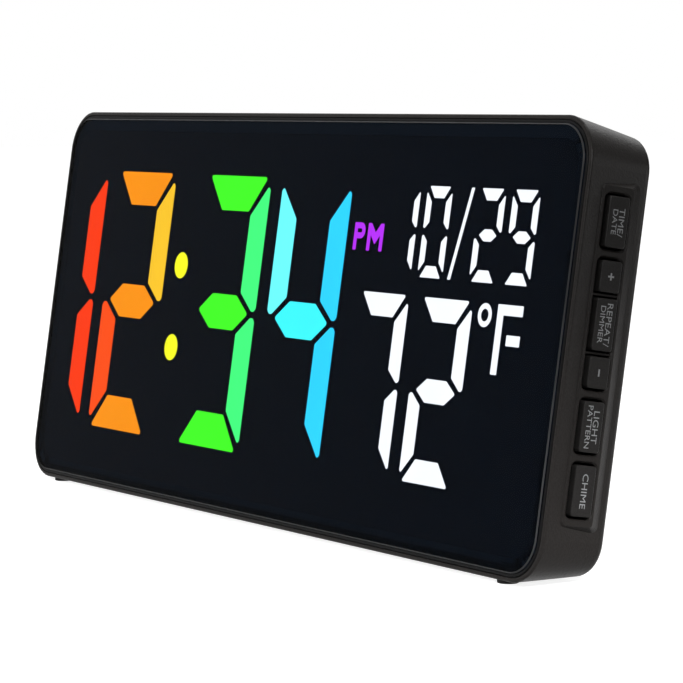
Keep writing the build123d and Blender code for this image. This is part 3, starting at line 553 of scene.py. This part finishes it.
def polished_plastic(name, colour, roughness, specular):
    """Glossy moulded plastic with faint wiping marks."""
    finish = Finish(name)
    marks = finish.group(handling_marks(), Smears_per_metre=60.0)
    finish.set(Specular_IOR_Level=specular)
    finish.blend_colour(marks.outputs["Marks"], colour, lighter(colour, 1.35))
    finish.spread(marks.outputs["Marks"], "Roughness", roughness, roughness + 0.1)
    return finish.material


def smoked_lens(name, tint):
    """Polished smoked acrylic: clear to the lit windows, dark elsewhere."""
    finish = Finish(name)
    marks = finish.group(handling_marks(), Smears_per_metre=25.0)
    finish.set(Base_Color=(*tint, 1.0), Transmission_Weight=1.0, IOR=1.05)
    finish.spread(marks.outputs["Marks"], "Roughness", 0.0, 0.035)
    return finish.material


def painted_edge_highlight(name, colour):
    """Band over the acrylic's bevel, lighter than the lens's face: a painted highlight of the lens's edge.
    """
    finish = Finish(name)
    marks = finish.group(handling_marks(), Smears_per_metre=90.0)
    finish.set(Specular_IOR_Level=0.02)
    finish.blend_colour(marks.outputs["Marks"], lighter(colour, 0.9), lighter(colour, 1.2))
    finish.spread(marks.outputs["Marks"], "Roughness", 0.2, 0.35)
    return finish.material


def lit_window(name, colour, strength):
    """Clear resin lit from behind, a touch uneven as moulded light guides are."""
    finish = Finish(name)
    noise = finish.nodes.new("ShaderNodeTexNoise")
    noise.inputs["Scale"].default_value = 70.0
    noise.inputs["Detail"].default_value = 1.0
    place = finish.nodes.new("ShaderNodeTexCoord")
    finish.links.new(place.outputs["Object"], noise.inputs["Vector"])
    finish.blend_colour(noise.outputs["Fac"], lighter(colour, 0.93), colour, "Emission Color")
    finish.set(Base_Color=(*lighter(colour, 0.2), 1.0), Roughness=0.35, Emission_Strength=strength)
    return finish.material


def drawn_metal(name, colour, roughness):
    """Plated or rolled metal with fine drawn lines."""
    finish = Finish(name)
    lines = finish.group(drawn_lines())
    finish.set(Metallic=1.0)
    finish.blend_colour(lines.outputs["Lines"], lighter(colour, 0.8), lighter(colour, 1.1))
    finish.spread(lines.outputs["Lines"], "Roughness", roughness - 0.08, roughness + 0.08)
    finish.bump(lines.outputs["Lines"], 0.2, 0.00002)
    return finish.material


def solder_mask(name, mask, track):
    """Circuit board with copper tracks that show through its mask."""
    finish = Finish(name)
    place = finish.nodes.new("ShaderNodeTexCoord")
    bricks = finish.nodes.new("ShaderNodeTexBrick")
    bricks.inputs["Scale"].default_value = 140.0
    bricks.inputs["Mortar Size"].default_value = 0.06
    bricks.inputs["Color1"].default_value = (*mask, 1.0)
    bricks.inputs["Color2"].default_value = (*lighter(mask, 1.2), 1.0)
    bricks.inputs["Mortar"].default_value = (*track, 1.0)
    finish.links.new(place.outputs["Object"], bricks.inputs["Vector"])
    finish.links.new(bricks.outputs["Color"], finish.shader.inputs["Base Color"])
    finish.set(Roughness=0.35)
    return finish.material


def printed_ink(name, colour):
    """Pad-printed ink, a little uneven over the key's grain."""
    finish = Finish(name)
    marks = finish.group(moulded_grain(), Grains_per_metre=5000.0)
    finish.set(Specular_IOR_Level=0.3)
    finish.blend_colour(marks.outputs["Height"], lighter(colour, 0.8), lighter(colour, 1.12))
    finish.spread(marks.outputs["Mottle"], "Roughness", 0.5, 0.65)
    return finish.material


def seen_plainly(tree):
    """Mask of the camera's rays and of those that gloss and glass pass on."""
    rays = tree.nodes.new("ShaderNodeLightPath")
    mask = rays.outputs["Is Camera Ray"]
    for kind in ("Is Glossy Ray", "Is Transmission Ray"):
        either = tree.nodes.new("ShaderNodeMath")
        either.operation = "MAXIMUM"
        tree.links.new(mask, either.inputs[0])
        tree.links.new(rays.outputs[kind], either.inputs[1])
        mask = either.outputs[0]
    return mask


def dress(nodes, material):
    """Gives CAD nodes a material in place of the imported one."""
    for name in nodes:
        data = NODES[name].data
        data.materials.clear()
        data.materials.append(material)


def nodes_in(*slots):
    """Names of the CAD nodes in these material slots."""
    return [name for name in NODES if SLOTS[name] in slots]


def made_piece(name, drawing, material):
    """Object with the mesh of a finished drawing, linked into the scene."""
    data = bpy.data.meshes.new(name)
    drawing.to_mesh(data)
    drawing.free()
    data.materials.append(material)
    piece = bpy.data.objects.new(name, data)
    bpy.context.scene.collection.objects.link(piece)
    return piece


# Operators


class CLOCK_OT_case(Operator):
    """Finish the case, its cover, feet and screws"""

    bl_idname = "clock.case"
    bl_label = "Case"

    def execute(self, context):
        p = context.scene.clock_finish
        body = grained_plastic(
            "Body grain", p.case_colour, grain=p.grain_size, roughness=0.34, relief=0.00016, specular=0.05
        )
        rubber = grained_plastic(
            "Foot rubber", (0.006, 0.006, 0.006), grain=0.0004, roughness=0.85, relief=0.00005, specular=0.2
        )
        inlet = polished_plastic("Inlet plastic", (0.006, 0.006, 0.0065), roughness=0.3, specular=0.4)
        dress(nodes_in("case_matte"), body)
        dress(nodes_in("foot_rubber"), rubber)
        dress(nodes_in("screw"), drawn_metal("Screw zinc", (0.3, 0.3, 0.31), roughness=0.4))
        dress(nodes_in("jack"), inlet)
        return {"FINISHED"}


class CLOCK_OT_front(Operator):
    """Finish the lens and the bezel"""

    bl_idname = "clock.front"
    bl_label = "Front"

    def execute(self, context):
        p = context.scene.clock_finish
        dress(["front_lens"], smoked_lens("Smoked lens", p.lens_tint))
        gloss = polished_plastic("Bezel gloss", p.bezel_colour, roughness=0.3, specular=0.03)
        dress(["front_bezel"], gloss)
        return {"FINISHED"}


class CLOCK_OT_lens_edge(Operator):
    """Lay a band over the lens's bevel, its lighter colour a painted highlight of the edge"""

    bl_idname = "clock.lens_edge"
    bl_label = "Lens edge"

    def execute(self, context):
        p = context.scene.clock_edge
        width = LENS_HIGH.x - LENS_LOW.x + 2 * p.skin
        height = p.lens_height + 2 * p.skin
        band = bmesh.new()
        bmesh.ops.create_grid(band, x_segments=1, y_segments=1, size=0.5)
        bmesh.ops.scale(band, vec=(width, height, 1.0), verts=band.verts[:])
        bmesh.ops.bevel(
            band,
            geom=band.verts[:],
            offset=p.corner + p.skin,
            affect="VERTICES",
            segments=16,
            profile=0.5,
            material=-1,
        )
        middle = band.faces[:]
        bmesh.ops.inset_region(
            band,
            faces=middle,
            thickness=p.bevel,
            depth=p.bevel,
            use_boundary=True,
            use_even_offset=True,
        )
        bmesh.ops.delete(band, geom=middle, context="FACES")
        bmesh.ops.recalc_face_normals(band, faces=band.faces[:])
        bmesh.ops.solidify(band, geom=band.faces[:], thickness=p.skin / 2)
        turn = Matrix((RIGHT, UPWARD, -REARWARD)).transposed().to_4x4()
        turn.translation = on_clock(0.0, 0.0, 1000.0 * (p.bevel - p.skin))
        bmesh.ops.transform(band, matrix=turn, verts=band.verts[:])
        # The band's lighter colour paints the bevel's highlight
        edge = made_piece("lens_edge", band, painted_edge_highlight("Lens edge", p.colour))
        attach(edge, "clock")
        return {"FINISHED"}


class CLOCK_OT_display(Operator):
    """Light the display windows and darken the reflector and tape round them"""

    bl_idname = "clock.display"
    bl_label = "Display"

    def execute(self, context):
        p = context.scene.clock_finish
        for slot, colour in WINDOW_COLOURS.items():
            dress(nodes_in(slot), lit_window(slot.replace("_", " "), linear(colour), p.window_strength))
        dark = (0.022, 0.037, 0.062)
        reflector = grained_plastic(
            "Reflector black", dark, grain=0.0004, roughness=0.9, relief=0.00002, specular=0.05
        )
        tape = grained_plastic(
            "Lens tape", lighter(dark, 0.5), grain=0.0005, roughness=0.85, relief=0.00002, specular=0.02
        )
        unlit = grained_plastic(
            "Unlit window", dark, grain=0.0006, roughness=0.8, relief=0.00001, specular=0.05
        )
        dress(["reflector_block"], reflector)
        dress(nodes_in("tape"), tape)
        dress(["unlit_windows"], unlit)
        return {"FINISHED"}


class CLOCK_OT_inside(Operator):
    """Finish the boards and parts inside the case"""

    bl_idname = "clock.inside"
    bl_label = "Inside"

    def execute(self, context):
        green = solder_mask("Circuit board", mask=(0.008, 0.07, 0.026), track=(0.02, 0.14, 0.05))
        # The button board's mask is black so that the gaps round the keys stay dark: painted shade in the
        # gaps
        black = solder_mask("Button board", mask=(0.003, 0.003, 0.0032), track=(0.005, 0.005, 0.0055))
        moulded = grained_plastic(
            "Moulded black", (0.01, 0.01, 0.011), grain=0.0003, roughness=0.6, relief=0.00003, specular=0.4
        )
        resin = polished_plastic("Emitter resin", (0.6, 0.55, 0.3), roughness=0.2, specular=0.5)
        dress(nodes_in("board"), green)
        dress(["button_board"], black)
        dress(nodes_in("chip", "plunger"), moulded)
        dress(nodes_in("emitter"), resin)
        dress(nodes_in("steel"), drawn_metal("Rolled steel", (0.6, 0.6, 0.6), roughness=0.3))
        dress(nodes_in("capacitor"), drawn_metal("Capacitor can", (0.7, 0.7, 0.72), roughness=0.3))
        dress(nodes_in("contact"), drawn_metal("Plated contact", (0.65, 0.5, 0.2), roughness=0.28))
        return {"FINISHED"}


class CLOCK_OT_keys(Operator):
    """Finish the side keys"""

    bl_idname = "clock.keys"
    bl_label = "Keys"

    def execute(self, context):
        p = context.scene.clock_finish
        caps = grained_plastic(
            "Key grain", p.key_colour, grain=p.grain_size * 0.8, roughness=0.33, relief=0.0001, specular=0.05
        )
        dress(nodes_in("key_matte"), caps)
        return {"FINISHED"}


def font_mesh(words):
    """Flat mesh of words in the plain font, with their baseline along X."""
    curve = bpy.data.curves.new("legend line", "FONT")
    curve.body = words
    curve.resolution_u = 6
    holder = bpy.data.objects.new("legend line", curve)
    bpy.context.scene.collection.objects.link(holder)
    bpy.context.view_layer.update()
    mesh = bpy.data.meshes.new_from_object(holder.evaluated_get(bpy.context.evaluated_depsgraph_get()))
    bpy.data.objects.remove(holder)
    bpy.data.curves.remove(curve)
    if not mesh.vertices:
        raise RuntimeError(f"the legend {words} made no mesh")
    return mesh


def legend_line(words, height, stretch):
    """Flat mesh of one line of capitals of a given height, with its middle at the origin."""
    mesh = font_mesh(words)
    sample = font_mesh("H")
    tall = max(v.co.y for v in sample.vertices)
    bpy.data.meshes.remove(sample)
    xs = [v.co.x for v in mesh.vertices]
    middle = Matrix.Translation((-(min(xs) + max(xs)) / 2, -tall / 2, 0.0))
    scale = height / tall
    mesh.transform(Matrix.Diagonal((scale * stretch, scale, scale, 1.0)) @ middle)
    return mesh


def sign_drawing(arms, span, stroke):
    """Flat plus or minus sign about the origin: a square with two or four arms."""
    drawing = bmesh.new()
    bmesh.ops.create_grid(drawing, x_segments=1, y_segments=1, size=stroke / 2)
    for edge in drawing.edges[:]:
        outward = (edge.verts[0].co + edge.verts[1].co).normalized()
        if arms == 2 and abs(outward.x) < 0.5:
            continue
        arm = bmesh.ops.extrude_edge_only(drawing, edges=[edge])
        tip = [v for v in arm["geom"] if isinstance(v, bmesh.types.BMVert)]
        bmesh.ops.translate(drawing, vec=outward * (span - stroke) / 2, verts=tip)
    return drawing


def words_drawing(lines, sizes):
    """Flat legend of one or two lines of capitals about the origin."""
    heights = [sizes.first_height, sizes.second_height][: len(lines)]
    edge = (sum(heights) + sizes.line_gap * (len(lines) - 1)) / 2
    drawing = bmesh.new()
    for words, height in zip(lines, heights):
        mesh = legend_line(words, height, sizes.stretch)
        mesh.transform(Matrix.Translation((0.0, edge - height / 2, 0.0)))
        edge -= height + sizes.line_gap
        drawing.from_mesh(mesh)
        bpy.data.meshes.remove(mesh)
    return drawing


class CLOCK_OT_legends(Operator):
    """Print the legends on the side keys"""

    bl_idname = "clock.legends"
    bl_label = "Legends"

    def execute(self, context):
        sizes = context.scene.clock_legend
        ink = printed_ink("Legend ink", context.scene.clock_finish.legend_colour)
        drawings = {name: words_drawing(lines, sizes) for name, lines in LEGENDS.items()}
        for name, arms in SIGNS.items():
            drawings[name] = sign_drawing(arms, sizes.sign_span, sizes.sign_stroke)
        for name, drawing in drawings.items():
            low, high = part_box(f"key_{name}")
            middle = (low + high) / 2
            ink_top = bmesh.ops.extrude_face_region(drawing, geom=drawing.faces[:])
            raised = [v for v in ink_top["geom"] if isinstance(v, bmesh.types.BMVert)]
            bmesh.ops.translate(drawing, vec=(0.0, 0.0, sizes.relief), verts=raised)
            bmesh.ops.recalc_face_normals(drawing, faces=drawing.faces[:])
            place = Matrix((-UPWARD, REARWARD, RIGHT)).transposed().to_4x4()
            place.translation = Vector((high.x, middle.y, middle.z))
            bmesh.ops.transform(drawing, matrix=place, verts=drawing.verts[:])
            legend = made_piece(f"legend_{name}", drawing, ink)
            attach(legend, f"{name}_key")
        return {"FINISHED"}


def hang(lamp, place, aim):
    """Hangs a lamp in the scene, aimed at a point and unseen by the camera."""
    holder = bpy.data.objects.new(lamp.name, lamp)
    holder.location = place
    holder.rotation_mode = "QUATERNION"
    holder.rotation_quaternion = (Vector(aim) - Vector(place)).to_track_quat("-Z", "Y")
    holder.visible_camera = False
    bpy.context.scene.collection.objects.link(holder)
    return holder


def area_lamp(name, power):
    """One of the rectangular lamps of the stage."""
    place, aim, width, height = LAMPS[name]
    lamp = bpy.data.lights.new(name, "AREA")
    lamp.shape = "RECTANGLE"
    lamp.size = width
    lamp.size_y = height
    lamp.energy = power
    return hang(lamp, place, aim)


def soft_spot(name, place, aim, pool, power):
    """Spot lamp with a soft pool of light of a given radius round the point it is aimed at."""
    lamp = bpy.data.lights.new(name, "SPOT")
    lamp.energy = power
    lamp.shadow_soft_size = SPOT_RADIUS
    lamp.spot_blend = 1.0
    lamp.spot_size = 2.0 * math.atan(pool / (Vector(aim) - Vector(place)).length)
    return hang(lamp, place, aim)


class CLOCK_OT_stage(Operator):
    """Set up the floor, the lamps, the surroundings and the camera"""

    bl_idname = "clock.stage"
    bl_label = "Stage"

    def execute(self, context):
        p = context.scene.clock_stage
        context.scene.view_settings.view_transform = "Standard"
        self.sheets()
        self.surroundings(p.fill_level)
        self.lamps(p)
        self.camera(p.focal_length)
        return {"FINISHED"}

    def sheets(self):
        """Floor, and a dark flag behind the clock that only its gloss shows."""
        self.sheet("floor", FLOOR_HALF, Matrix(), self.floor_material())
        upright = Matrix.Translation(FLAG_PLACE) @ Matrix.Rotation(math.radians(90.0), 4, "X")
        upright @= Matrix.Diagonal((1.0, FLAG_HALF_HEIGHT / FLAG_HALF_WIDTH, 1.0, 1.0))
        black = Finish("Flag black").set(Base_Color=(0.01, 0.011, 0.013, 1.0)).material
        flag = self.sheet("flag", FLAG_HALF_WIDTH, upright, black)
        flag.visible_camera = False
        flag.visible_diffuse = False
        flag.visible_shadow = False

    def sheet(self, name, half, place, material):
        """Square sheet of the stage."""
        drawing = bmesh.new()
        bmesh.ops.create_grid(drawing, x_segments=1, y_segments=1, size=half, matrix=place)
        sheet = made_piece(name, drawing, material)
        return sheet

    def floor_material(self):
        """White sweep that stays white to the camera and keeps the clock's shadow."""
        finish = Finish("Floor white")
        finish.set(Base_Color=(0.4, 0.4, 0.4, 1.0), Roughness=0.7, Specular_IOR_Level=0.1)
        finish.set(Emission_Color=(1.0, 1.0, 1.0, 1.0))
        level = finish.nodes.new("ShaderNodeMath")
        level.operation = "MULTIPLY"
        level.inputs[1].default_value = FLOOR_LEVEL
        finish.links.new(seen_plainly(finish.material.node_tree), level.inputs[0])
        finish.links.new(level.outputs[0], finish.shader.inputs["Emission Strength"])
        return finish.material

    def surroundings(self, level):
        """Plain white surroundings, dimmer as a light than as a background."""
        world = bpy.data.worlds.new("Studio")
        world.use_nodes = True
        bpy.context.scene.world = world
        nodes, links = world.node_tree.nodes, world.node_tree.links
        background = nodes["Background"]
        background.inputs["Color"].default_value = (1.0, 1.0, 1.0, 1.0)
        span = nodes.new("ShaderNodeMapRange")
        span.inputs["To Min"].default_value = level
        span.inputs["To Max"].default_value = 1.0
        links.new(seen_plainly(world.node_tree), span.inputs["Value"])
        links.new(span.outputs["Result"], background.inputs["Strength"])

    def lamps(self, p):
        """Soft boxes, a matte fill, glints that show only as highlights, and a low spot."""
        area_lamp("soft_box", p.soft_box_power)
        front = area_lamp("front_box", p.front_box_power)
        front.visible_glossy = False
        front.visible_transmission = False
        area_lamp("side_box", p.side_box_power)
        for name, share in GLINT_SHARES.items():
            glint = area_lamp(name, p.glint_power * share)
            glint.visible_diffuse = False
            glint.visible_transmission = False
        soft_spot("low_spot", LOW_SPOT_PLACE, LOW_SPOT_AIM, LOW_SPOT_POOL, p.low_spot_power)

    def camera(self, focal_length):
        """Camera at the photograph's viewpoint."""
        lens = bpy.data.cameras.new("camera")
        lens.sensor_width = 36.0
        lens.lens = focal_length
        lens.clip_start = 0.05
        lens.clip_end = 50.0
        camera = bpy.data.objects.new("camera", lens)
        turn = Matrix((RIGHT, REARWARD, UPWARD)).transposed()
        axes = Matrix((turn @ CAMERA_ACROSS, turn @ -CAMERA_DOWN, turn @ -CAMERA_ONWARD)).transposed()
        camera.rotation_mode = "QUATERNION"
        camera.rotation_quaternion = axes.to_quaternion()
        camera.location = on_clock(*CAMERA_PLACE)
        bpy.context.scene.collection.objects.link(camera)
        bpy.context.scene.camera = camera


STEPS = (
    CLOCK_OT_case,
    CLOCK_OT_front,
    CLOCK_OT_lens_edge,
    CLOCK_OT_display,
    CLOCK_OT_keys,
    CLOCK_OT_legends,
    CLOCK_OT_inside,
    CLOCK_OT_stage,
)


class CLOCK_PT_panel(Panel):
    """Sidebar panel with the clock's settings and steps"""

    bl_label = "Digital clock"
    bl_idname = "CLOCK_PT_panel"
    bl_space_type = "VIEW_3D"
    bl_region_type = "UI"
    bl_category = "Clock"

    def draw(self, context):
        layout = self.layout
        scene = context.scene
        for group in (scene.clock_finish, scene.clock_edge, scene.clock_legend, scene.clock_stage):
            box = layout.box()
            for name in group.__annotations__:
                box.prop(group, name)
        for step in STEPS:
            layout.operator(step.bl_idname)


CLASSES = (ClockFinish, ClockEdge, ClockLegend, ClockStage, *STEPS, CLOCK_PT_panel)


def register():
    for cls in CLASSES:
        bpy.utils.register_class(cls)
    bpy.types.Scene.clock_finish = PointerProperty(type=ClockFinish)
    bpy.types.Scene.clock_edge = PointerProperty(type=ClockEdge)
    bpy.types.Scene.clock_legend = PointerProperty(type=ClockLegend)
    bpy.types.Scene.clock_stage = PointerProperty(type=ClockStage)


def unregister():
    del bpy.types.Scene.clock_stage
    del bpy.types.Scene.clock_legend
    del bpy.types.Scene.clock_edge
    del bpy.types.Scene.clock_finish
    for cls in reversed(CLASSES):
        bpy.utils.unregister_class(cls)


def main():
    register()
    bpy.ops.clock.case()
    bpy.ops.clock.front()
    bpy.ops.clock.lens_edge()
    bpy.ops.clock.display()
    bpy.ops.clock.keys()
    bpy.ops.clock.legends()
    bpy.ops.clock.inside()
    bpy.ops.clock.stage()


if __name__ == "__main__":
    main()
